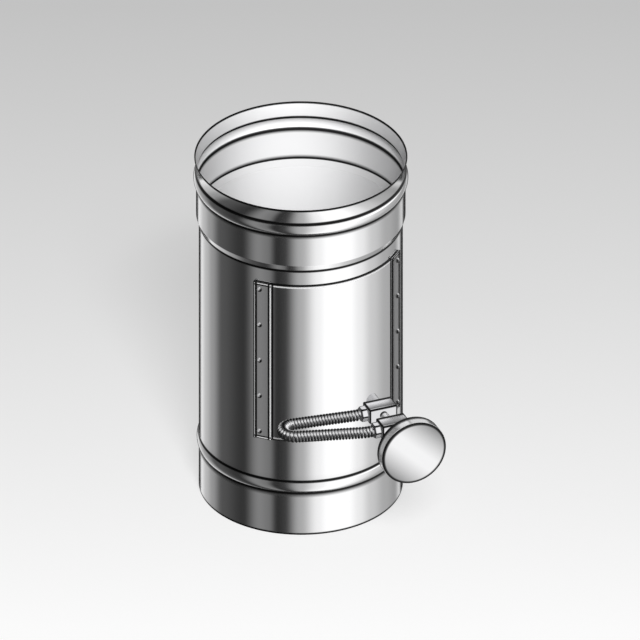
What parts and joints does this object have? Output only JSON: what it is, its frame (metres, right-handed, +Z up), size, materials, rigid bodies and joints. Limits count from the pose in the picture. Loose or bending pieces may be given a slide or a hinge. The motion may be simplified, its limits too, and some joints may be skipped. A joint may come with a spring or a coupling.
{
  "type": "stove pipe damper",
  "caption": "Single-wall steel flue section with a beaded socket and spigot, a butterfly blade inside, a riveted cover plate and a wire-wound loop handle with a round knob.",
  "frame": {"origin": "centre of the bottom rim, on the pipe's axis", "axes": "+Z up the pipe, from the spigot to the socket; -Y to the front, towards the knob; +X to the right"},
  "size_m": [0.1579, 0.2384, 0.28],
  "materials": {
    "pipe_steel": "bright rolled stainless sheet with a fine upright grain",
    "plate_steel": "bright rolled stainless sheet",
    "strip_steel": "satin stainless sheet with folded edges",
    "rivet_steel": "bright domed heads",
    "turned_steel": "fine turned",
    "blade_steel": "plain rolled stainless sheet",
    "spring_steel": "darker spring steel",
    "block_metal": "machined with bevelled edges",
    "nut_steel": "bright hexagon nuts",
    "coil_wire": "bright close-wound wire",
    "knob_chrome": "polished"
  },
  "bodies": {
    "pipe": {"pipe_body": "pipe_steel", "cover_plate": "plate_steel", "left_strip": "strip_steel", "right_strip": "strip_steel", "left_rivets": "rivet_steel", "right_rivets": "rivet_steel", "front_bush": "turned_steel", "rear_bush": "turned_steel"},
    "damper": {"spindle": "turned_steel", "damper_blade": "blade_steel", "front_strap": "blade_steel", "rear_strap": "blade_steel", "front_strap_rivets": "rivet_steel", "rear_strap_rivets": "rivet_steel", "thrust_washer": "turned_steel", "disc_spring": "spring_steel", "block_washer": "turned_steel", "rear_washer": "turned_steel", "retaining_pin": "spring_steel", "inner_block": "block_metal", "outer_block": "block_metal", "inner_grub_screw": "spring_steel", "outer_grub_screw": "spring_steel", "inner_nut": "nut_steel", "outer_nut": "nut_steel", "handle_rod": "turned_steel", "handle_coil": "coil_wire", "knob_neck": "turned_steel", "knob_nut": "nut_steel", "knob": "knob_chrome"}
  },
  "joints": [
    {"name": "damper_turn", "type": "hinge", "parent": "pipe", "child": "damper", "pos_m": [0.027, 0, 0.1045], "axis": [0, 1, 0], "range_deg": [0, 90]}
  ]
}
